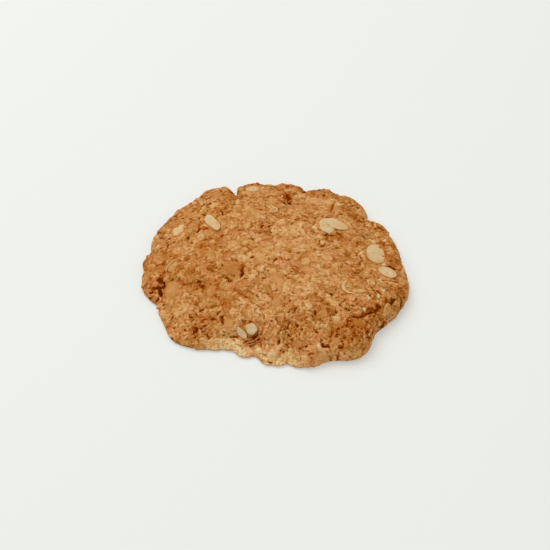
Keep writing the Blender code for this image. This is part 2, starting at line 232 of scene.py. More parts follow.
def lattice_noise(points, seed):
    """Smooth gradient noise from -1 to 1, with features about 1 unit across."""
    cell = np.floor(points).astype(np.int64)
    part = points - cell
    ease = part ** 3 * (part * (part * 6.0 - 15.0) + 10.0)
    total = np.zeros(len(points))
    for corner in range(8):
        step = np.array([corner & 1, corner >> 1 & 1, corner >> 2 & 1])
        node = cell + step
        h = node[:, 0] * 73856093 ^ node[:, 1] * 19349663 ^ node[:, 2] * 83492791 ^ seed * 2654435761
        h = (h ^ h >> 13) * 1274126177 & 0x7FFFFFFF
        h = (h ^ h >> 15) * 461845907 & 0x7FFFFFFF
        turn = (h & 0xFFFF) / 65536.0 * 2.0 * math.pi
        lift = (h >> 16 & 0x7FFF) / 32768.0 * 2.0 - 1.0
        flat = np.sqrt(1.0 - lift * lift)
        arrow = np.stack([flat * np.cos(turn), flat * np.sin(turn), lift], axis=1)
        weight = np.prod(np.where(step, ease, 1.0 - ease), axis=1)
        total += weight * np.einsum("ij,ij->i", arrow, part - step)
    return total * 1.6


def outline(theta):
    plain = BASE_RADIUS + humps(theta, LOBES) - humps(theta, NOTCHES, 1.7)
    a = np.radians(theta)
    round_it = np.stack([np.cos(a), np.sin(a), 0.0 * a], axis=1) * BASE_RADIUS
    ragged = 0.24 * lattice_noise(round_it / 4.5, 51) + 0.20 * lattice_noise(round_it / 2.1, 52)
    return plain + ragged


def body_point(theta, along, zone):
    """(x, y, z) of the plain body. zone is crown, wall, foot or under; along goes from 0 to 1 in each."""
    reach = outline(theta)
    height = WALL_HEIGHT + humps(theta, WALL_TALLER)
    inset = SHOULDER + humps(theta, SHOULDER_WIDER)
    belly = BELLY * height
    if zone == "crown":
        share = along ** 3
        r = along * ((1.0 - share) * (BASE_RADIUS - SHOULDER) + share * (reach - inset))
        z = height + (CROWN_HEIGHT - height) * (1.0 - along ** 2.4)
    elif zone == "wall":
        lip = np.exp(-(away(theta, LIP_ANGLE) / LIP_WIDTH) ** 2)
        shape = WALL_SHAPE + (LIP_SHAPE - WALL_SHAPE) * lip
        turn = np.radians(90.0 * (1.0 - along))
        r = reach - inset * (1.0 - np.cos(turn) ** (2.0 / shape))
        z = belly + (height - belly) * np.sin(turn) ** (2.0 / shape)
    elif zone == "foot":
        turn = np.radians(90.0 * along)
        r = reach - UNDERCUT * (1.0 - np.cos(turn))
        z = belly * (1.0 - np.sin(turn))
    else:
        share = (1.0 - along) ** 3
        r = (1.0 - along) * ((1.0 - share) * (BASE_RADIUS - UNDERCUT) + share * (reach - UNDERCUT))
        z = 0.0 * reach
    a = np.radians(theta)
    return np.stack([r * np.cos(a), r * np.sin(a), z], axis=1)


# ------------------------------------------------------------------ the dense net of the crumb
STEP = 0.34               # distance between points round a ring, top and wall
RING = 0.30               # distance between rings
UNDER_STEP = 0.85


def crumb_net():
    """Points and triangles of the plain body, fine on top and on the wall and coarser underneath."""
    rings = []

    def add(count, along, zone, jitter, pitch=0.0):
        theta = np.arange(count) * 360.0 / count
        t = theta + jitter * rng.uniform(-0.32, 0.32, count) * 360.0 / count
        w = np.full(count, along) + jitter * rng.uniform(-0.32, 0.32, count) * pitch
        rings.append(body_point(t, np.clip(w, 0.0, 1.0), zone))

    crown = int(round((BASE_RADIUS - SHOULDER) / RING))
    wall, foot = 20, 8
    under = int(round((BASE_RADIUS - UNDERCUT) / UNDER_STEP))
    full = int(round(2.0 * math.pi * BASE_RADIUS / STEP))
    for k in range(1, crown):
        share = k / crown
        add(max(6, int(round(full * share * (BASE_RADIUS - SHOULDER) / BASE_RADIUS))), share, "crown", 1.0, 1.0 / crown)
    for k in range(wall):
        add(full, k / wall, "wall", 1.0 if k else 0.5, 0.7 / wall)
    for k in range(foot):
        add(full, k / foot, "foot", 0.6 if k else 0.3, 0.5 / foot)
    for k in range(under):
        share = k / under
        add(max(6, int(round(2.0 * math.pi * BASE_RADIUS / UNDER_STEP * (1.0 - share)))), share, "under", 0.9 if k else 0.0, 0.8 / under)
    starts = np.cumsum([0] + [len(r) for r in rings])
    faces = []
    for k in range(len(rings) - 1):
        a0, n, b0, m = starts[k + 1], len(rings[k + 1]), starts[k], len(rings[k])
        i = j = 0
        while i < n or j < m:
            if j >= m or (i < n and (i + 0.5) / n <= (j + 0.5) / m):
                faces.append((a0 + i % n, a0 + (i + 1) % n, b0 + j % m))
                i += 1
            else:
                faces.append((a0 + i % n, b0 + (j + 1) % m, b0 + j % m))
                j += 1
    points = np.concatenate(rings)
    top, low = len(points), len(points) + 1
    n = len(rings[0])
    faces += [(i, (i + 1) % n, top) for i in range(n)]
    b, m = starts[-2], len(rings[-1])
    faces += [(b + (i + 1) % m, b + i, low) for i in range(m)]
    points = np.concatenate([points, body_point(np.zeros(1), np.zeros(1), "crown"), body_point(np.zeros(1), np.ones(1), "under")])
    faces = np.array(faces)
    return points, faces, starts[crown - 1 + wall + foot]


def normals_of(points, faces):
    flat = np.cross(points[faces[:, 1]] - points[faces[:, 0]], points[faces[:, 2]] - points[faces[:, 0]])
    n = np.stack([sum(np.bincount(faces[:, k], flat[:, axis], len(points)) for k in range(3)) for axis in range(3)], axis=1)
    return n / np.maximum(np.linalg.norm(n, axis=1), 1e-12)[:, None]


class Net:
    """Averages values over a mesh's neighbours."""

    def __init__(self, faces, count):
        e = np.sort(np.concatenate([faces[:, [0, 1]], faces[:, [1, 2]], faces[:, [2, 0]]]), axis=1)
        e = np.unique(e, axis=0)
        self.a, self.b, self.count = e[:, 0], e[:, 1], count
        self.degree = np.bincount(self.a, minlength=count) + np.bincount(self.b, minlength=count)

    def blur(self, values, times, share=0.6):
        values = np.asarray(values, float)
        if values.ndim == 2:
            return np.stack([self.blur(values[:, k], times, share) for k in range(values.shape[1])], axis=1)
        for _ in range(times):
            near = np.bincount(self.a, values[self.b], self.count) + np.bincount(self.b, values[self.a], self.count)
            values = (1.0 - share) * values + share * near / self.degree
        return values


base, faces, under_start = crumb_net()
if np.einsum("ij,ij->i", np.cross(base[faces[:200, 1]] - base[faces[:200, 0]], base[faces[:200, 2]] - base[faces[:200, 0]]), [[0, 0, 1.0]] * 200).mean() < 0:
    faces = faces[:, ::-1]
net = Net(faces, len(base))
normal = net.blur(normals_of(base, faces), 6)
normal /= np.linalg.norm(normal, axis=1)[:, None]
upper = base[:, 2] > 0.25
lift = smooth(0.15, 1.7, base[:, 2])            # relief fades out at the foot
ids = np.nonzero(upper)[0]
tree = KDTree(len(ids))
for i in ids:
    tree.insert(base[i], int(i))
tree.balance()


def bumps(points, table):
    """Sum of round bumps (x, y, radius, height)."""
    total = np.zeros(len(points))
    for x, y, radius, size in table:
        total += size * np.exp(-(((points[:, 0] - x) ** 2 + (points[:, 1] - y) ** 2) / radius ** 2))
    return total


# where the crust is more crumbly (above 0) or smoother (below 0)
ROUGHER = (
    (-24.0, -27.0, 8.0, 0.6), (31.0, -24.0, 11.0, 0.7), (34.0, -12.0, 8.0, 0.5), (2.0, -35.0, 14.0, 0.7),
    (-40.5, -11.0, 4.0, 0.6), (24.0, -13.0, 6.0, 0.2), (-10.0, 30.0, 6.0, 0.3), (12.0, -22.0, 9.0, 0.3),
    (-34.6, -12.4, 4.6, -0.5), (-14.3, -5.4, 3.4, -0.6), (-22.0, 2.0, 10.0, -0.2), (-28.0, 18.0, 9.0, -0.15),
    (0.0, 8.0, 10.0, -0.15), (14.0, 32.0, 10.0, -0.2), (24.0, -34.0, 9.0, 0.5),
)
crumbly = np.clip(0.95 + 0.5 * lattice_noise(base / 9.0, 21) + 0.3 * lattice_noise(base / 4.0, 22) + bumps(base, ROUGHER), 0.30, 2.0)

# ------------------------------------------------------------------ relief
d = np.zeros(len(base))
for size, height, seed in SWELLS:
    d += height * lattice_noise(base / size, seed)
for x, y, radius, depth in DENTS:
    d -= depth * np.exp(-(((base[:, 0] - x) ** 2 + (base[:, 1] - y) ** 2) / radius ** 2) ** 1.3)

theta_of = np.degrees(np.arctan2(base[:, 1], base[:, 0]))
edge_gap = outline(theta_of) - np.hypot(base[:, 0], base[:, 1])
front = smooth(-129.0, -120.0, theta_of) * smooth(-70.0, -80.0, theta_of)
lip = front * smooth(8.0, 4.0, edge_gap)         # the broken front lip is fine crumb without flakes
tint = np.zeros(len(base))       # each flake's own shade


def lay_flakes(count, size_low, size_high, seat, rim_width, drop, tilt, tone, seed):
    """Thin oval flakes lying one on another in the dough, each with its own tilt and shade."""
    r = np.random.default_rng(seed)
    for c in r.choice(ids, count):
        a = r.uniform(size_low, size_high)
        if lip[c] > 0.3 and a > 1.1:
            continue
        b = a * r.uniform(0.5, 0.88)
        turn, level = r.uniform(0, math.pi), r.normal(0.0, seat)
        slope = r.normal(0.0, tilt, 2)
        bow = r.normal(0.0, 0.010)
        wave, wave2 = r.uniform(0, 2 * math.pi, 2)
        shade = r.normal(0.0, tone)
        near = np.fromiter((i for _, i, _ in tree.find_range(base[c], a * 1.4)), int)
        n = normal[c]
        t1 = np.cross(n, [math.cos(turn), math.sin(turn), 0.31])
        t1 /= np.linalg.norm(t1)
        t2 = np.cross(n, t1)
        q = base[near] - base[c]
        u, v, w = q @ t1, q @ t2, q @ n
        phi = np.arctan2(v / b, u / a)
        rho = np.hypot(u / a, v / b) * (1.0 + 0.09 * np.sin(3 * phi + wave) + 0.06 * np.sin(5 * phi + wave2))
        inside = rho < 1.0
        if inside.sum() < 6:
            continue
        soft = rim_width / b
        cand = d[near][inside].mean() + level + slope[0] * u + slope[1] * v + bow * (u * u + v * v) - np.clip(0.3 * w, -0.10, 0.10)
        cand = cand - 0.35 * drop * smooth(0.70, 1.0, rho) - drop * smooth(1.0, 1.0 + soft, rho)
        gap = np.where(rho > 1.0 + soft, -9.0, cand - d[near])
        over = smooth(-0.08, 0.10, gap)
        d[near] = np.where(gap > -0.08, d[near] + over * np.maximum(gap, 0.0), d[near])
        over *= smooth(1.0 + soft, 0.86, rho)
        tint[near] = tint[near] * (1.0 - over) + shade * over


lay_flakes(420, 2.8, 5.0, 0.12, 0.9, 0.22, 0.035, 0.8, 101)
lay_flakes(900, 1.5, 3.0, 0.12, 0.6, 0.25, 0.060, 1.0, 102)
lay_flakes(900, 0.8, 1.7, 0.10, 0.4, 0.25, 0.090, 1.0, 103)
d -= d[upper].mean()
d = net.blur(d, 1, 0.4)

# crumb: grains parted by creases, and fine ridges like fibres
grain = np.zeros(len(base))
bent = base + 0.5 * np.stack([lattice_noise(base / 1.7, 24), lattice_noise(base / 1.7, 25), lattice_noise(base / 1.7, 26)], axis=1)
for size, height, seed in ((2.7, 0.10, 61), (1.7, 0.10, 62), (1.15, 0.10, 63)):
    grain += height * (np.abs(lattice_noise(bent / size, seed)) - 0.27)
for size, height, seed in ((2.2, 0.07, 64), (1.25, 0.06, 65)):
    grain -= height * (np.abs(lattice_noise(bent / size, seed)) - 0.27)
for size, height, seed in ((1.0, 0.07, 66), (0.72, 0.07, 67)):
    grain += height * lattice_noise(base / size, seed)
grain *= crumbly + 0.3 * lip
d += grain


def line_gap(x0, y0, x1, y1):
    """Distance from a line seen from above, and how far along it each point lies."""
    run = np.array([x1 - x0, y1 - y0])
    t = np.clip(((base[:, :2] - [x0, y0]) @ run) / max(run @ run, 1e-9), 0.0, 1.0)
    return np.hypot(base[:, 0] - x0 - t * run[0], base[:, 1] - y0 - t * run[1]), t


crack_wander = 0.40 * lattice_noise(base / 1.6, 71) + 0.2 * lattice_noise(base / 0.8, 72)
mark_brown_and_shade = np.zeros(len(base))
for x0, y0, x1, y1, half, depth, brown in MARKS:
    off, t = line_gap(x0, y0, x1, y1)
    half = max(half, 0.42)
    off = np.clip(off + crack_wander * min(1.0, half / 0.7), 0.0, None)
    fall = upper * np.exp(-(off / half) ** 2)
    if (x0, y0) != (x1, y1):
        fall *= 0.7 + 0.3 * np.sin(np.pi * np.clip(t, 0.02, 0.98))
    d -= 0.7 * depth * fall
    # each mark darkens its hollow: partly real browning, partly painted shade
    mark_brown_and_shade = np.maximum(mark_brown_and_shade, brown * fall)

# pores and slits
r = np.random.default_rng(88)
weight = crumbly[ids] ** 2.5
for c in r.choice(ids, 430, p=weight / weight.sum()):
    long, wide = 0.3 + 0.9 * r.random() ** 2, r.uniform(0.25, 0.38)
    deep = r.uniform(0.12, 0.42)
    turn = r.uniform(0, math.pi)
    near = np.fromiter((i for _, i, _ in tree.find_range(base[c], long * 1.9)), int)
    n = normal[c]
    t1 = np.cross(n, [math.cos(turn), math.sin(turn), 0.2])
    t1 /= np.linalg.norm(t1)
    q = base[near] - base[c]
    u, v = q @ t1, q @ np.cross(n, t1)
    v = v + r.normal(0.0, 0.3) * u * u
    d[near] -= deep * np.exp(-(u / long) ** 2 - (v / wide) ** 2)

# smooth plates of dough, and a bed for each whole oat so that nothing pokes through it
calm_d = net.blur(d, 14)
edge_noise = 0.16 * lattice_noise(base / 1.5, 95)
plate = np.zeros(len(base))
plate_rim = np.zeros(len(base))
plate_shade = np.zeros(len(base))
plate_hue = np.zeros(len(base))
for x, y, half_x, half_y, shade, lean, bulge in PLATES:
    rho = np.hypot((base[:, 0] - x) / half_x, (base[:, 1] - y) / half_y) + edge_noise
    over = upper * smooth(1.20, 0.80, rho)
    d = d + bulge * (1.0 - np.clip(rho, 0.0, 1.0) ** 2) * over + 0.75 * (calm_d - d) * over
    plate = np.maximum(plate, over)
    plate_rim = np.maximum(plate_rim, upper * np.exp(-((rho - 1.18) / 0.16) ** 2))
    plate_shade = np.where(over > 0.0, shade, plate_shade)
    plate_hue = np.where(over > 0.0, lean, plate_hue)
for x, y, long, wide, turn, *_ in WHOLE_OATS:
    c, w = math.cos(math.radians(turn)), math.sin(math.radians(turn))
    u, v = (base[:, 0] - x) * c + (base[:, 1] - y) * w, -(base[:, 0] - x) * w + (base[:, 1] - y) * c
    over = upper * smooth(1.22, 0.92, np.hypot(u / (0.5 * long + 0.3), v / (0.5 * wide + 0.3)))
    d = d * (1.0 - over) + (calm_d - 0.06) * over

cavity = net.blur(d, 12) - d                     # above zero in hollows
cavity_fine = net.blur(d, 3) - d
cavity_wide = net.blur(d, 90) - net.blur(d, 10)

# the rim keeps its outline: relief is held back where the surface faces outwards
rim = smooth(0.75, 0.25, normal[:, 2])
rim_relief = 0.45 + 0.30 * np.exp(-(away(theta_of, -50.0) / 60.0) ** 2)
lift = lift * (1.0 - rim * (1.0 - rim_relief))
d = np.where(rim > 0.2, np.clip(d, -0.9, 0.45), d)
crumb = base + normal * (d * lift)[:, None]

# the underside: pressed flat, with the odd shallow pore
flat_side = base[:, 2] < 0.02
under_noise = lattice_noise(base / 3.1, 81) * 0.5 + lattice_noise(base / 1.3, 82) * 0.5
inside = np.hypot(base[:, 0], base[:, 1]) < 40.5
pore = np.where(flat_side & inside, smooth(0.28, 0.62, under_noise) * 0.7, 0.0)
crumb[:, 2] += pore
crumb[:, 2] = np.maximum(crumb[:, 2], 0.0)

# ------------------------------------------------------------------ how brown each point is, with painted shade in hollows and low on the foot and painted light on ridges
# 0 is the palest oat, 1 the darkest crevice
height_now = crumb[:, 2]
roast_and_shade = np.full(len(base), 0.50)
roast_and_shade += 0.060 * np.clip(tint, -2.2, 2.2)
for size, amount, seed in ((16.0, 0.12, 31), (7.0, 0.17, 32), (3.4, 0.125, 33), (1.7, 0.09, 34), (0.85, 0.08, 35)):
    roast_and_shade += amount * lattice_noise(base / size, seed)
# hollows darker and ridges lighter, at three sizes: partly real browning, partly painted shade in the hollows and
# painted light on the ridges
roast_and_shade += 0.26 * np.clip(cavity / 0.30, 0.0, 1.4) - 0.12 * np.clip(-cavity / 0.22, 0.0, 1.2)
roast_and_shade += 0.16 * np.clip(cavity_fine / 0.10, 0.0, 1.5) - 0.12 * np.clip(-cavity_fine / 0.09, 0.0, 1.2)
roast_and_shade += 0.10 * np.clip(cavity_wide / 0.5, -1.0, 1.0)
hue = 0.1 + 1.0 * lattice_noise(base / 5.0, 41) + 1.0 * lattice_noise(base / 2.0, 42) + 0.7 * lattice_noise(base / 1.0, 43) + 0.25 * np.clip(tint, -2, 2)

# (x, y, radius, how much browner)
BROWNER = (
    (-39.9, -9.4, 2.6, 0.28), (-26.0, -11.2, 2.2, 0.12), (3.8, 34.0, 2.0, 0.26), (4.6, 31.4, 1.7, 0.22),
    (-3.6, 14.2, 2.0, 0.12), (-10.6, -6.4, 1.7, 0.18), (-14.6, -9.0, 2.2, 0.10), (-14.3, -5.4, 3.4, 0.06),
    (-23.0, -28.0, 4.0, 0.14), (-8.8, -32.6, 3.0, 0.16), (41.4, -0.6, 1.8, 0.30), (43.2, -13.0, 3.0, 0.10),
    (30.0, -32.0, 8.0, 0.10), (38.0, -24.0, 5.0, 0.10), (20.0, -36.0, 6.0, 0.06), (-19.8, 21.8, 1.2, 0.14),
    (44.5, 4.0, 4.0, 0.08), (-44.5, -4.0, 4.0, 0.06),
    (-25.4, -10.2, 3.6, 0.14), (-19.8, 2.0, 4.5, 0.14), (-33.1, -0.2, 3.0, 0.10), (-28.5, -27.1, 3.2, 0.10), (8.2, -27.6, 3.2, 0.10),
    (-26.5, -4.5, 3.6, 0.08), (20.9, -35.2, 3.2, 0.22), (27.2, -32.7, 3.2, 0.09), (-8.1, -37.2, 2.2, 0.28), (-2.6, -32.0, 3.0, 0.18),
    (-16.6, -9.8, 3.4, 0.10), (10.5, 37.0, 3.2, 0.20), (41.9, 10.6, 3.0, 0.10), (-25.3, -12.9, 3.0, 0.13), (35.4, -22.8, 2.8, 0.16),
    (4.2, -40.0, 1.2, 0.2), (40.6, -15.1, 3.0, 0.14), (29.9, -28.8, 3.0, 0.10), (-2.5, -12.4, 3.2, 0.09), (44.5, -3.8, 2.6, 0.16),
    (41.7, 8.7, 2.6, 0.08), (8.2, -32.0, 2.8, 0.13), (7.9, -24.1, 2.8, 0.08), (-19.1, 1.9, 3.0, 0.07), (18.9, 25.3, 3.0, 0.14), (26.8, 2.2, 3.2, 0.09), (-19.9, 19.4, 2.8, 0.09), (-10.4, 3.1, 3.0, 0.11), (-34.9, 3.9, 3.0, 0.10), (8.7, -41.3, 2.8, 0.15),
    (27.0, 17.4, 3.0, 0.08), (-22.0, -21.2, 2.8, 0.09), (1.2, 33.2, 2.4, 0.09),
)
PALER = (
    (4.0, 12.0, 4.0, 0.08), (12.0, 10.0, 5.0, 0.05), (0.0, 4.0, 8.0, 0.03), (2.5, 17.0, 1.6, 0.14),
    (14.0, -8.0, 6.0, 0.05), (8.9, 15.9, 1.3, 0.12), (36.5, -11.0, 3.0, 0.08), (22.0, -26.5, 1.8, 0.06),
    (20.0, -39.6, 3.5, 0.16), (39.5, -23.5, 3.0, 0.22), (13.1, 10.2, 3.4, 0.17), (17.5, 6.7, 3.4, 0.25), (-30.1, 31.6, 4.0, 0.14),
    (31.3, -35.5, 4.0, 0.13), (-20.1, -29.6, 3.4, 0.18), (14.6, -40.4, 4.0, 0.18), (11.2, -36.5, 3.4, 0.10), (0.0, 6.2, 5.0, 0.17),
    (26.0, -38.5, 3.4, 0.10), (-38.2, -18.5, 3.0, 0.11), (-18.1, -34.0, 3.4, 0.10),
    (1.2, -41.5, 3.4, 0.12), (-11.5, -26.0, 2.6, 0.10), (14.7, -19.1, 3.4, 0.11), (-9.0, -21.6, 3.6, 0.15), (-30.3, 31.3, 3.2, 0.15), (4.6, 14.0, 2.2, 0.14),
    (3.0, -41.0, 3.0, 0.14), (12.0, 11.8, 3.2, 0.17), (20.0, -39.6, 3.0, 0.08), (25.5, -39.2, 3.0, 0.10), (33.2, -6.4, 3.0, 0.09),
    (-37.0, -21.4, 3.0, 0.16), (38.3, -23.8, 3.2, 0.15), (-1.6, -40.7, 2.6, 0.08),
    (-11.9, -31.0, 2.2, 0.18), (-44.6, -8.2, 2.6, 0.08), (6.8, -36.6, 4.2, 0.08), (31.0, 25.6, 3.2, 0.14), (-44.8, -2.0, 6.0, 0.08), (-23.4, 12.3, 3.0, 0.15), (16.0, -30.5, 4.0, 0.07), (-1.6, -4.8, 3.0, 0.07),
    (-43.0, 11.5, 3.2, 0.10), (-26.8, 17.6, 3.0, 0.10), (6.3, -9.8, 3.0, 0.09), (32.0, 3.0, 2.4, 0.12), (-34.4, 27.2, 3.0, 0.09),
)
# (x, y, radius, how far to orange-red)
REDDER = (
    (-22.2, 26.2, 1.6, 0.9), (3.7, -2.3, 2.2, 1.0), (-6.2, 0.6, 1.0, 1.0), (-14.3, 3.6, 1.2, 0.9), (3.9, 22.1, 1.2, 1.2), (-16.6, 15.4, 2.0, 0.8),
    (-41.0, -5.8, 2.0, 1.2), (-43.3, -6.9, 2.2, 0.8), (-7.4, -32.6, 2.6, 1.4), (-1.5, -36.9, 1.4, 1.3), (15.7, -36.7, 2.4, 1.0), (11.7, -40.7, 2.2, 1.3),
    (31.6, -29.2, 1.4, 1.3), (33.4, -28.8, 1.4, 1.2), (-23.0, -26.5, 1.8, 0.8), (30.7, -0.9, 1.6, 1.1), (29.9, -3.6, 1.6, 1.0), (-42.2, 2.4, 2.2, 0.8),
    (28.3, -18.5, 2.4, 0.9), (32.0, -19.4, 1.6, 1.2), (3.3, -27.6, 1.2, 1.2), (1.1, -30.6, 1.6, 0.8), (-39.1, -14.1, 1.6, 0.9), (-40.4, -14.1, 1.4, 1.0),
    (-34.2, -1.3, 1.6, 1.0), (-4.9, 13.4, 1.8, 1.3), (-2.6, -39.7, 1.8, 0.9), (-8.0, -37.2, 1.4, 1.1), (38.7, 7.0, 1.6, 0.8), (35.9, -3.0, 2.0, 0.6),
    (-8.0, -36.8, 1.8, 1.4), (-2.8, -32.4, 3.0, 0.9), (-14.0, -30.0, 2.0, -0.6), (4.6, 14.0, 2.2, -0.9), (-3.0, -40.6, 1.4, 0.9), (12.1, 11.8, 3.0, -0.7), (7.6, -28.0, 5.0, 0.5), (8.7, -41.2, 2.8, 0.9), (3.0, -41.0, 3.0, -0.5),
    (3.8, 33.6, 2.4, 1.4), (-12.2, -5.0, 1.8, 0.9), (-40.0, -9.0, 3.0, 0.9), (-6.6, -34.4, 2.6, 1.0),
)
roast_and_shade += bumps(base, BROWNER) - bumps(base, PALER)
hue += bumps(base, REDDER)
# the marks' hollows made browner and darker, partly painted shade
roast_and_shade += mark_brown_and_shade
roast_and_shade = np.where(roast_and_shade < 0.36, 0.36 - 0.65 * (0.36 - roast_and_shade), roast_and_shade)

# the rim is a little browner, with a thin dark line low down that is painted shade under the undercut foot; the broken
# front lip shows the paler inside
roast_and_shade += 0.05 * smooth(7.0, 1.0, edge_gap) + (0.22 + 0.22 * np.exp(-(away(theta_of, -128.0) / 16.0) ** 2)) * smooth(1.3, 0.5, height_now)
pale_lip = front * smooth(5.0, 2.0, edge_gap + 1.6 * lattice_noise(base / 3.0, 92)) * smooth(0.5, 1.1, height_now)
pale_lip *= np.clip(0.95 + 0.7 * lattice_noise(base / 1.6, 91), 0.0, 1.3)
roast_and_shade = np.where(pale_lip > 0.3, np.minimum(roast_and_shade, 0.60), roast_and_shade) - 0.35 * pale_lip
hue = hue * (1.0 - 0.5 * np.minimum(pale_lip, 1.0)) - 1.0 * pale_lip
roast_and_shade = roast_and_shade * (1.0 - 0.6 * plate) + (plate_shade + 0.25 * edge_noise) * 0.6 * plate + 0.10 * plate_rim * smooth(-0.1, 0.12, edge_noise)
hue = hue * (1.0 - 0.6 * plate) + plate_hue * 0.6 * plate
roast_and_shade = np.where(flat_side, 0.60 + 0.16 * under_noise + 0.25 * (pore > 0.15), roast_and_shade)

# ------------------------------------------------------------------ meshes
def new_object(name, points, faces, body="root"):
    mesh = bpy.data.meshes.new(name)
    mesh.vertices.add(len(points))
    mesh.vertices.foreach_set("co", ((points - [BOX_CENTRE[0], BOX_CENTRE[1], 0.0]) * MM).astype(np.float32).ravel())
    mesh.loops.add(3 * len(faces))
    mesh.loops.foreach_set("vertex_index", np.ascontiguousarray(faces).astype(np.int32).ravel())
    mesh.polygons.add(len(faces))
    mesh.polygons.foreach_set("loop_start", np.arange(0, 3 * len(faces), 3, dtype=np.int32))
    mesh.polygons.foreach_set("loop_total", np.full(len(faces), 3, dtype=np.int32))
    mesh.update(calc_edges=True)
    mesh.validate()
    mesh.shade_smooth()
    obj = bpy.data.objects.new(name, mesh)
    bpy.context.scene.collection.objects.link(obj)
    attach(obj, body)
    return obj


def put(mesh, name, values):
    attribute = mesh.attributes.new(name, "FLOAT", "POINT")
    attribute.data.foreach_set("value", np.asarray(values, np.float32))


core = new_object("crumb", crumb, faces)
put(core.data, "roast_and_shade", roast_and_shade)
put(core.data, "hue", hue)
put(core.data, "calm", plate)
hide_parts("biscuit")

# surface lookup for what is set into the top
calm = crumb.copy()
calm = base + normal * (net.blur(d, 10) * lift)[:, None]
calm_normal = net.blur(normals_of(calm, faces), 6)
calm_normal /= np.linalg.norm(calm_normal, axis=1)[:, None]
topside = np.nonzero(upper & (normal[:, 2] > 0.15))[0]
flat_tree = KDTree(len(topside))
for i in topside:
    flat_tree.insert((calm[i, 0], calm[i, 1], 0.0), int(i))
flat_tree.balance()


def seat_at(x, y):
    i = flat_tree.find((x, y, 0.0))[1]
    return calm[i], calm_normal[i]


class Heap:
    """Gathers many small closed shapes into one mesh."""

    def __init__(self):
        self.points, self.faces, self.extra, self.count = [], [], {}, 0

    def add(self, points, faces, **values):
        self.points.append(points)
        self.faces.append(faces + self.count)
        for name, value in values.items():
            self.extra.setdefault(name, []).append(np.broadcast_to(value, len(points)).astype(float))
        self.count += len(points)

    def make(self, name):
        points = np.concatenate(self.points)
        points[:, 2] = np.maximum(points[:, 2], 0.02)
        obj = new_object(name, points, np.concatenate(self.faces))
        for key, values in self.extra.items():
            put(obj.data, key, np.concatenate(values))
        return obj


def disc_faces(rings, around):
    """Triangles of a closed shape: a middle point, rings of points round it, and a last middle point."""
    out = []
    for k in range(around):
        out.append((0, 1 + k, 1 + (k + 1) % around))
    for j in range(rings - 1):
        a, b = 1 + j * around, 1 + (j + 1) * around
        for k in range(around):
            m = (k + 1) % around
            out += [(a + k, b + k, b + m), (a + k, b + m, a + m)]
    last = 1 + rings * around
    a = 1 + (rings - 1) * around
    for k in range(around):
        out.append((last, a + (k + 1) % around, a + k))
    return np.array(out)


def oat_shape(r, length, width, thick, around, top, crease=0.0, bow=0.0, ragged=0.05, taper=0.0, bend=0.0, notches=()):
    """A rolled oat: a thin oval with an uneven rim, thinner at the rim, with a crease along it.

    taper narrows it towards its far end, bend gives it an S, and each notch (angle, depth, half width)
    bites into the rim."""
    a = np.arange(around) * 2.0 * math.pi / around
    rim = 1.0 + ragged * (np.sin(2 * a + r.uniform(0, 6.3)) * 0.6 + np.sin(3 * a + r.uniform(0, 6.3)) + 0.7 * np.sin(5 * a + r.uniform(0, 6.3)) + 0.5 * np.sin(8 * a + r.uniform(0, 6.3)))
    for angle, depth, half in notches:
        rim -= depth * np.exp(-(away(np.degrees(a), angle) / half) ** 2)
    bottom = (0.9, 0.5)
    shares = list(top) + [1.0] + list(bottom)
    rows = []
    for j, s in enumerate(shares):
        u, v = s * rim * np.cos(a) * length / 2, s * rim * np.sin(a) * width / 2
        v = v * (1.0 - taper * u / (length / 2)) + bend * np.sin(math.pi * u / (length / 2))
        if j < len(top):
            z = thick * (0.5 - 0.30 * s ** 4)
            z = z - crease * thick * np.exp(-((v - bend * np.sin(math.pi * u / (length / 2))) / (0.13 * width)) ** 2) * (1.0 - s ** 3)
        elif j == len(top):
            z = 0.0 * a
        else:
            z = -thick * 0.45 + 0.0 * a
        z = z + bow * (u * u - 0.3 * v * v) / length
        rows.append(np.stack([u, v, z], axis=1))
    first = np.array([[0.0, 0.0, thick * 0.5 - crease * thick]])
    last = np.array([[0.0, 0.0, -thick * 0.45]])
    share = np.concatenate([[0.0]] + [np.full(around, s) for s in shares] + [[0.0]])
    return np.concatenate([first] + rows + [last]), disc_faces(len(shares), around), share


def set_in(shape, where, up, turn, tilt_u=0.0, tilt_v=0.0, sink=0.0):
    """Lays a flat shape on the surface: its length turned from +X by turn degrees, tilted, and sunk along up."""
    ahead = np.array([math.cos(math.radians(turn)), math.sin(math.radians(turn)), 0.0])
    side = np.cross(up, ahead)
    side /= np.linalg.norm(side)
    ahead = np.cross(side, up)
    n = up - ahead * math.tan(math.radians(tilt_u)) - side * math.tan(math.radians(tilt_v))
    n /= np.linalg.norm(n)
    side = np.cross(n, ahead)
    side /= np.linalg.norm(side)
    ahead = np.cross(side, n)
    return where - up * sink + shape[:, :1] * ahead + shape[:, 1:2] * side + shape[:, 2:3] * n


# ------------------------------------------------------------------ the pale whole oats
whole = Heap()
r = np.random.default_rng(5)
for x, y, long, wide, turn, crease, bow, sink, shade, rim_shade, taper, bend, fade, notches in WHOLE_OATS:
    shape, tris, share = oat_shape(r, long, wide, 0.62, 56, (0.15, 0.3, 0.45, 0.6, 0.72, 0.82, 0.9, 0.96), crease, bow, 0.020, taper, bend, notches)
    seed = int(r.integers(1000))
    shape[:, 2] += (0.10 * lattice_noise(shape / 1.4, seed) + 0.05 * lattice_noise(shape / 0.6, seed + 1)) * (share < 0.97)
    where, up = seat_at(x, y)
    placed = set_in(shape, where, up, turn, 0.0, 0.0, sink)
    patch = 0.11 * lattice_noise(shape / 1.8, seed + 2) + 0.08 * lattice_noise(shape / 0.8, seed + 3) + fade * shape[:, 0] / (0.5 * long)
    whole.add(placed, tris, roast_and_shade=shade + patch + rim_shade * smooth(0.66, 0.97, share), hue=-0.1 + 0.7 * lattice_noise(shape / 2.0, seed + 4), along=shape[:, 1])
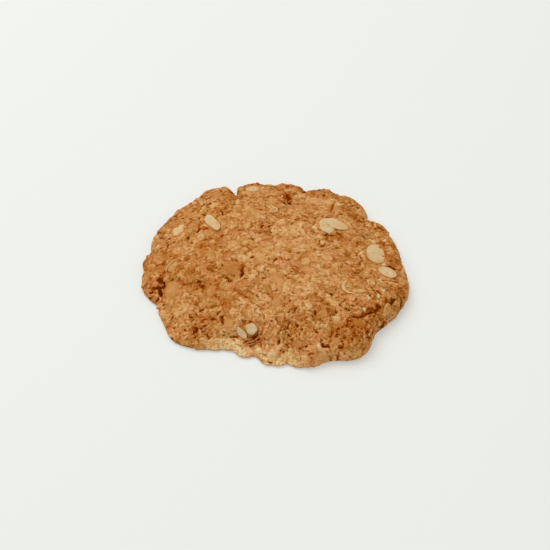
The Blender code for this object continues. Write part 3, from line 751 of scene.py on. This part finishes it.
# torn scraps of pale oat
for x, y, long, wide, turn, shade in PALE_SCRAPS:
    torn = [(r.uniform(0, 360), r.uniform(0.12, 0.32), r.uniform(14, 34)) for _ in range(3)]
    shape, tris, share = oat_shape(r, long, wide, 0.45, 20, (0.35, 0.65, 0.88), 0.0, 0.0, 0.10, r.uniform(0.0, 0.35), r.normal(0, 0.08), torn)
    shape[:, 2] += 0.10 * lattice_noise(shape / 0.8, int(r.integers(1000))) * (share < 0.97)
    where, up = seat_at(x, y)
    placed = set_in(shape, where, up, turn, r.normal(0, 7), r.normal(0, 7), 0.10)
    whole.add(placed, tris, roast_and_shade=shade - 0.01 + 0.14 * smooth(0.5, 1.0, share) + r.normal(0, 0.02), hue=-0.3 + r.normal(0, 0.5), along=shape[:, 1])
whole_oats = whole.make("whole_oats")

# the thin bran edges that stand out of the crumb
husk = Heap()


def strand(points, half_width, half_thick, up, sides=6, taper=0.55):
    """A flattened strand along points."""
    n = len(points)
    ahead = np.gradient(points, axis=0)
    ahead /= np.linalg.norm(ahead, axis=1)[:, None]
    up = np.broadcast_to(up, points.shape)
    side = np.cross(up, ahead)
    side /= np.maximum(np.linalg.norm(side, axis=1), 1e-9)[:, None]
    over = np.cross(ahead, side)
    t = np.linspace(0.0, 1.0, n)
    thin = taper + (1.0 - taper) * np.sin(np.pi * t) ** 0.6
    a = np.arange(sides) * 2.0 * math.pi / sides
    ring = points[:, None, :] + side[:, None, :] * (np.cos(a)[None, :, None] * (half_width * thin)[:, None, None]) + over[:, None, :] * (np.sin(a)[None, :, None] * (half_thick * thin)[:, None, None])
    out = [(points[0] - ahead[0] * half_width * 0.5)[None], ring.reshape(-1, 3), (points[-1] + ahead[-1] * half_width * 0.5)[None]]
    return np.concatenate(out), disc_faces(n, sides)[:, ::-1]


def surface_line(points, raise_by):
    out, ups = [], []
    for x, y in points:
        where, up = seat_at(x, y)
        out.append(where + up * raise_by)
        ups.append(up)
    return np.array(out), np.array(ups)


def curve(ax, ay, bx, by, bend, steps):
    """Points from a to b, bowed sideways by bend."""
    t = np.linspace(0.0, 1.0, steps)
    run = np.array([bx - ax, by - ay])
    side = np.array([-run[1], run[0]]) / max(np.linalg.norm(run), 1e-9)
    return np.array([ax, ay]) + t[:, None] * run + side * (bend * 4.0 * t * (1.0 - t))[:, None]


# (from x, y, to x, y, bow, half width, raised, roast)
BRAN_EDGES = (
    (-14.0, -11.6, -8.9, -7.3, -0.8, 0.34, 0.10, 0.26),
    (22.6, 6.8, 14.6, -0.4, -0.6, 0.32, 0.04, 0.38),
    (14.4, 21.8, 21.8, 23.4, 0.8, 0.30, 0.04, 0.38),
    (-38.0, -2.6, -34.2, 1.9, 1.3, 0.50, 0.10, 0.36),
    (-22.0, -33.0, -17.0, -34.0, 0.3, 0.40, 0.05, 0.22),
    (4.0, -27.0, 8.0, -25.0, 0.4, 0.30, 0.05, 0.34),
    (-9.6, -33.8, -5.0, -31.2, -0.3, 0.36, 0.30, 0.56), (-8.4, -34.6, -4.0, -32.4, 0.2, 0.34, 0.30, 0.60), (-10.0, -32.8, -7.2, -32.2, 0.2, 0.34, 0.30, 0.52),
    (-6.2, -36.6, -1.6, -38.2, 0.4, 0.36, 0.20, 0.22), (-13.0, -33.4, -10.0, -34.6, 0.2, 0.45, 0.20, 0.22),
    (24.9, -9.9, 26.6, -16.4, -2.3, 0.70, 0.22, 0.24),
    (24.6, -12.6, 25.4, -13.6, 0.0, 0.30, 0.30, 0.22),
    (44.6, -26.4, 43.6, -29.2, 0.0, 0.35, 0.0, 0.28),
)
for ax, ay, bx, by, bow, half, raised, shade in BRAN_EDGES:
    points, ups = surface_line(curve(ax, ay, bx, by, bow, 18), raised)
    shape, tris = strand(points, half, 0.20, ups, taper=0.25)
    husk.add(shape, tris, roast_and_shade=shade, hue=1.4 if shade > 0.5 else -0.2, along=0.0)
husks = husk.make("husk_edges")

# ------------------------------------------------------------------ browned oats set flush in the dough
oats = Heap()
r = np.random.default_rng(6)
blocked = [(o[0], o[1], 0.5 * max(o[2], o[3]) + 0.8) for o in WHOLE_OATS]
free = topside[plate[topside] < 0.6]
made = 0
for c in r.choice(free, 900):
    x, y = calm[c, :2]
    if any((x - bx) ** 2 + (y - by) ** 2 < reach * reach for bx, by, reach in blocked):
        continue
    if lip[c] > 0.4:
        continue
    long = r.uniform(1.8, 4.6)
    wide = long * r.uniform(0.45, 0.8)
    shape, tris, share = oat_shape(r, long, wide, 0.5, 18, (0.4, 0.7, 0.9), r.uniform(0, 0.15), r.normal(0, 0.25), 0.09, r.uniform(0.0, 0.3), r.normal(0, 0.12))
    seed = int(r.integers(1000))
    shape[:, 2] += 0.07 * lattice_noise(shape / 0.9, seed)
    placed = set_in(shape, calm[c], calm_normal[c], r.uniform(0, 360), r.normal(0, 5.0), r.normal(0, 5.0), r.uniform(0.14, 0.36))
    shade = roast_and_shade[c] * 0.5 + 0.22 + r.normal(0.0, 0.06)
    oats.add(placed, tris, roast_and_shade=shade + 0.14 * smooth(0.5, 1.0, share) - 0.03, hue=hue[c] + r.normal(0, 0.5), along=shape[:, 1])
    made += 1
    if made >= 420:
        break
browned_oats = oats.make("browned_oats")

# ------------------------------------------------------------------ coconut shreds
shreds = Heap()
r = np.random.default_rng(7)
made = 0
for c in r.choice(free, 2400):
    x, y = calm[c, :2]
    if normal[c, 2] < 0.7 or any((x - bx) ** 2 + (y - by) ** 2 < (reach - 0.8) ** 2 for bx, by, reach in blocked):
        continue
    long, turn, bend = 0.8 + 2.6 * r.random() ** 1.8, r.uniform(0, 2 * math.pi), r.normal(0.0, 0.18)
    dx, dy = math.cos(turn) * long / 2, math.sin(turn) * long / 2
    line, ups = surface_line(curve(x - dx, y - dy, x + dx, y + dy, bend * long / 2, 6), 0.0)
    raised = r.uniform(-0.08, 0.10) + 0.10 * np.sin(np.linspace(0, math.pi, 6)) * r.uniform(-1, 1)
    line = line + ups * raised[:, None]
    line = np.stack([np.convolve(np.pad(line[:, k], 1, mode="edge"), [0.25, 0.5, 0.25], "valid") for k in range(3)], axis=1)
    shape, tris = strand(line, r.uniform(0.15, 0.32), r.uniform(0.07, 0.12), ups, 5)
    shade = 0.5 * roast_and_shade[c] + 0.22 + r.normal(0.0, 0.07)
    shreds.add(shape, tris, roast_and_shade=shade, hue=hue[c] + r.normal(0.0, 0.5), along=0.0)
    made += 1
    if made >= 1200:
        break
coconut = shreds.make("coconut_shreds")

# ------------------------------------------------------------------ crumbs
crumbs = Heap()
r = np.random.default_rng(8)
golden = (1.0 + 5.0 ** 0.5) / 2.0
ICO = np.array([(-1, golden, 0), (1, golden, 0), (-1, -golden, 0), (1, -golden, 0), (0, -1, golden), (0, 1, golden), (0, -1, -golden), (0, 1, -golden), (golden, 0, -1), (golden, 0, 1), (-golden, 0, -1), (-golden, 0, 1)], float)
ICO /= np.linalg.norm(ICO[0])
ICO_FACES = np.array([(0, 11, 5), (0, 5, 1), (0, 1, 7), (0, 7, 10), (0, 10, 11), (1, 5, 9), (5, 11, 4), (11, 10, 2), (10, 7, 6), (7, 1, 8), (3, 9, 4), (3, 4, 2), (3, 2, 6), (3, 6, 8), (3, 8, 9), (4, 9, 5), (2, 4, 11), (6, 2, 10), (8, 6, 7), (9, 8, 1)])


def finer(points, faces):
    points, seen, out = list(points), {}, []

    def middle(i, j):
        key = (min(i, j), max(i, j))
        if key not in seen:
            m = points[i] + points[j]
            seen[key] = len(points)
            points.append(m / np.linalg.norm(m))
        return seen[key]

    for i, j, k in faces:
        a, b, c = middle(i, j), middle(j, k), middle(k, i)
        out += [(i, a, c), (j, b, a), (k, c, b), (a, b, c)]
    return np.array(points), np.array(out)


BALL, BALL_FACES = finer(ICO, ICO_FACES)
side_ids = np.nonzero(upper & (base[:, 2] > 0.9))[0]
weight = np.clip(crumbly[side_ids] - 0.45, 0.03, None) ** 2 * (1.0 - 0.92 * rim[side_ids]) + 1.3 * pale_lip[side_ids]
weight *= (1.0 - plate[side_ids]) ** 2
for count, low, high, ball, ball_faces in ((560, 0.28, 0.58, BALL, BALL_FACES), (4600, 0.15, 0.32, ICO, ICO_FACES)):
    for c in r.choice(side_ids, count, p=weight / weight.sum()):
        size = low + (high - low) * r.random() ** 1.8
        stretch = r.uniform(0.6, 1.45, 3) * [1.0, 1.0, 0.7]
        lump = ball * (1.0 + 0.25 * lattice_noise(ball * 1.4 + r.uniform(0, 50, 3), 3))[:, None] * stretch * size
        placed = set_in(lump, crumb[c], calm_normal[c], r.uniform(0, 360), r.normal(0, 20), r.normal(0, 20), size * r.uniform(0.25, 0.65))
        shade = roast_and_shade[c] * 0.65 + 0.17 + r.normal(0.0, 0.07)
        crumbs.add(placed, ball_faces, roast_and_shade=shade, hue=hue[c] + r.normal(0, 0.6), along=0.0)
# the crumb that hangs on at the left notch
where, up = crumb[side_ids[np.argmin(np.abs(crumb[side_ids] - [-39.4, -17.2, 1.6]).sum(axis=1))]], np.array([-0.8, -0.5, 0.2])
for offset, size, shade in (((0.0, 0.0, 0.2), 0.62, 0.22), ((-0.5, -0.5, 0.0), 0.45, 0.40), ((0.3, -0.7, -0.2), 0.40, 0.60)):
    lump = BALL * (1.0 + 0.25 * lattice_noise(BALL * 1.4 + 9.0 * size, 3))[:, None] * [1.2, 0.9, 0.8] * size
    crumbs.add(lump + where + offset, BALL_FACES, roast_and_shade=shade, hue=0.4, along=0.0)
crumb_bits = crumbs.make("crumb_bits")


# ------------------------------------------------------------------ materials
def srgb(r8, g8, b8):
    return tuple(((c / 255.0 + 0.055) / 1.055) ** 2.4 if c / 255.0 > 0.04045 else c / 255.0 / 12.92 for c in (r8, g8, b8)) + (1.0,)


# roast and painted shade, from palest to darkest
BAKE = (
    (0.00, (230, 206, 168)), (0.12, (225, 190, 141)), (0.24, (220, 173, 117)), (0.37, (207, 152, 92)),
    (0.50, (189, 130, 69)), (0.64, (174, 108, 40)), (0.78, (152, 78, 4)), (0.90, (130, 56, 0)), (1.00, (104, 41, 0)),
)
# the oats keep a greyer cream
OAT_CREAM = (
    (0.00, (219, 203, 168)), (0.12, (213, 188, 147)), (0.24, (208, 176, 128)), (0.37, (202, 159, 100)),
    (0.50, (190, 134, 73)), (0.64, (175, 109, 43)), (0.78, (150, 80, 12)), (0.90, (127, 56, 0)), (1.00, (96, 38, 0)),
)


def baked_material(name, noise_amount, fine_size, bump_depth, stripes=0.0, sheen_rough=0.72, colours=BAKE):
    """Baked dough: the colour follows how brown a point is, with the painted shade and light carried in the same value,
    mottled by noise at several sizes.
    """
    material = bpy.data.materials.new(name)
    material.use_nodes = True
    nodes, links = material.node_tree.nodes, material.node_tree.links
    shader = nodes["Principled BSDF"]

    def node(kind, **settings):
        made = nodes.new(kind)
        for key, value in settings.items():
            setattr(made, key, value)
        return made

    def math_node(operation, a, b):
        made = node("ShaderNodeMath", operation=operation)
        for slot, value in zip(made.inputs, (a, b)):
            if isinstance(value, (int, float)):
                slot.default_value = value
            else:
                links.new(value, slot)
        return made.outputs[0]

    where = node("ShaderNodeTexCoord").outputs["Object"]

    def noise(size_mm, detail, roughness, distortion=0.0):
        made = node("ShaderNodeTexNoise")
        links.new(where, made.inputs["Vector"])
        made.inputs["Scale"].default_value = 1000.0 / size_mm
        made.inputs["Detail"].default_value = detail
        made.inputs["Roughness"].default_value = roughness
        made.inputs["Distortion"].default_value = distortion
        return made.outputs["Fac"]

    roast_and_shade_in = node("ShaderNodeAttribute", attribute_name="roast_and_shade").outputs["Fac"]
    hue_in = node("ShaderNodeAttribute", attribute_name="hue").outputs["Fac"]
    mottle = noise(1.5, 3.0, 0.65, 0.6)
    grain = noise(fine_size, 3.0, 0.62, 0.3)
    speckle = math_node("ADD", math_node("MULTIPLY", math_node("SUBTRACT", mottle, 0.5), noise_amount), math_node("MULTIPLY", math_node("SUBTRACT", grain, 0.5), noise_amount * 1.35))
    calm_in = node("ShaderNodeAttribute", attribute_name="calm").outputs["Fac"]
    total = math_node("ADD", roast_and_shade_in, math_node("MULTIPLY", speckle, math_node("SUBTRACT", 1.0, math_node("MULTIPLY", calm_in, 0.4))))
    blush = noise(1.1, 2.0, 0.6, 0.5)
    hue_in = math_node("ADD", hue_in, math_node("MULTIPLY", math_node("SUBTRACT", blush, 0.5), 3.0))
    if stripes:
        along = node("ShaderNodeAttribute", attribute_name="along").outputs["Fac"]
        wave = math_node("SINE", math_node("ADD", math_node("MULTIPLY", along, 9.0), math_node("MULTIPLY", mottle, 6.0)), 0.0)
        total = math_node("ADD", total, math_node("MULTIPLY", wave, stripes))
    ramp = node("ShaderNodeValToRGB")
    links.new(total, ramp.inputs["Fac"])
    ramp.color_ramp.interpolation = "LINEAR"
    for k, (position, colour) in enumerate(colours):
        stop = ramp.color_ramp.elements[k] if k < 2 else ramp.color_ramp.elements.new(position)
        stop.position, stop.color = position, srgb(*colour)
    ramp.color_ramp.elements[0].position = 0.0
    # a lean to yellow-olive or to orange-pink
    lean = node("ShaderNodeValToRGB")
    links.new(math_node("ADD", math_node("MULTIPLY", hue_in, 0.26), 0.5), lean.inputs["Fac"])
    lean.color_ramp.elements[0].color = (0.95, 1.025, 0.83, 1.0)
    lean.color_ramp.elements[1].color = (1.08, 0.94, 1.00, 1.0)
    mixed = node("ShaderNodeMix", data_type="RGBA", blend_type="MULTIPLY")
    mixed.inputs[0].default_value = 1.0
    links.new(ramp.outputs["Color"], mixed.inputs[6])
    links.new(lean.outputs["Color"], mixed.inputs[7])
    links.new(mixed.outputs[2], shader.inputs["Base Color"])
    # pores and grain
    fine = noise(0.42, 4.0, 0.65, 0.2)
    bump = node("ShaderNodeBump")
    bump.inputs["Strength"].default_value = 0.8
    bump.inputs["Distance"].default_value = bump_depth * MM
    links.new(fine, bump.inputs["Height"])
    links.new(bump.outputs["Normal"], shader.inputs["Normal"])
    rough_out = math_node("ADD", math_node("MULTIPLY", math_node("SUBTRACT", mottle, 0.5), 0.35), sheen_rough)
    links.new(rough_out, shader.inputs["Roughness"])
    sheen = math_node("MULTIPLY", math_node("MAXIMUM", math_node("SUBTRACT", 0.82, total), 0.0), 0.40)
    links.new(sheen, shader.inputs["Specular IOR Level"])
    shader.inputs["Metallic"].default_value = 0.0
    return material


dough = baked_material("baked_dough", 0.405, 0.55, 0.18)
oat_skin = baked_material("oat_skin", 0.26, 0.6, 0.08, stripes=0.030, sheen_rough=0.62, colours=OAT_CREAM)
oat_brown = baked_material("oat_browned", 0.36, 0.55, 0.14, stripes=0.012, sheen_rough=0.68)
shred_skin = baked_material("coconut", 0.30, 0.6, 0.10, sheen_rough=0.6)
for obj, material in ((core, dough), (whole_oats, oat_skin), (husks, oat_brown), (browned_oats, oat_brown), (coconut, shred_skin), (crumb_bits, dough)):
    obj.data.materials.append(material)

# ------------------------------------------------------------------ floor, light, camera
bpy.ops.mesh.primitive_plane_add(size=4.0, location=(0.0, 0.0, 0.0))
floor = bpy.context.object
floor.name = "floor"
pale = bpy.data.materials.new("pale_floor")
pale.use_nodes = True
pale.node_tree.nodes["Principled BSDF"].inputs["Base Color"].default_value = (0.50, 0.508, 0.482, 1.0)
pale.node_tree.nodes["Principled BSDF"].inputs["Emission Color"].default_value = (0.965, 1.0, 0.93, 1.0)
pale.node_tree.nodes["Principled BSDF"].inputs["Emission Strength"].default_value = 0.342
pale.node_tree.nodes["Principled BSDF"].inputs["Roughness"].default_value = 0.6
pale.node_tree.nodes["Principled BSDF"].inputs["Specular IOR Level"].default_value = 0.2
floor.data.materials.append(pale)

scene = bpy.context.scene
world = bpy.data.worlds.new("studio")
scene.world = world
world.use_nodes = True
world.node_tree.nodes["Background"].inputs["Color"].default_value = (1.0, 1.0, 1.0, 1.0)
world.node_tree.nodes["Background"].inputs["Strength"].default_value = 0.680


def area_light(name, place, size, power, colour=(1.0, 1.0, 1.0)):
    lamp = bpy.data.lights.new(name, "AREA")
    lamp.shape = "SQUARE"
    lamp.size = size
    lamp.energy = power
    lamp.color = colour
    obj = bpy.data.objects.new(name, lamp)
    scene.collection.objects.link(obj)
    direction = -Vector(place)
    obj.rotation_mode = "QUATERNION"
    obj.rotation_quaternion = direction.to_track_quat("-Z", "Y")
    obj.location = place
    return obj


area_light("key", (-0.46, 0.42, 1.05), 0.86, 6.9)

ELEVATION, ROLL, DISTANCE = 46.6, 0.5, 390.0
AIM = (-0.356, -1.150, 0.0)
e, roll = math.radians(ELEVATION), math.radians(ROLL)
back = np.array([0.0, -math.cos(e), math.sin(e)])
right = np.array([1.0, 0.0, 0.0])
up = np.cross(back, right)
right_rolled = math.cos(roll) * right + math.sin(roll) * up
up_rolled = -math.sin(roll) * right + math.cos(roll) * up
camera = bpy.data.objects.new("camera", bpy.data.cameras.new("camera"))
scene.collection.objects.link(camera)
camera.data.sensor_width = 36.0
camera.data.lens = 72.0
camera.data.clip_start, camera.data.clip_end = 0.01, 20.0
place = (np.array(AIM) + back * DISTANCE) * MM
camera.matrix_world = Matrix((
    (right_rolled[0], up_rolled[0], back[0], place[0]),
    (right_rolled[1], up_rolled[1], back[1], place[1]),
    (right_rolled[2], up_rolled[2], back[2], place[2]),
    (0.0, 0.0, 0.0, 1.0),
))
scene.camera = camera
scene.view_settings.view_transform = "Standard"
scene.view_settings.look = "None"
scene.view_settings.exposure = 0.0
scene.view_settings.gamma = 1.0

for obj in (core, whole_oats, husks, browned_oats, coconut, crumb_bits):
    print(obj.name, len(obj.data.polygons), "triangles")
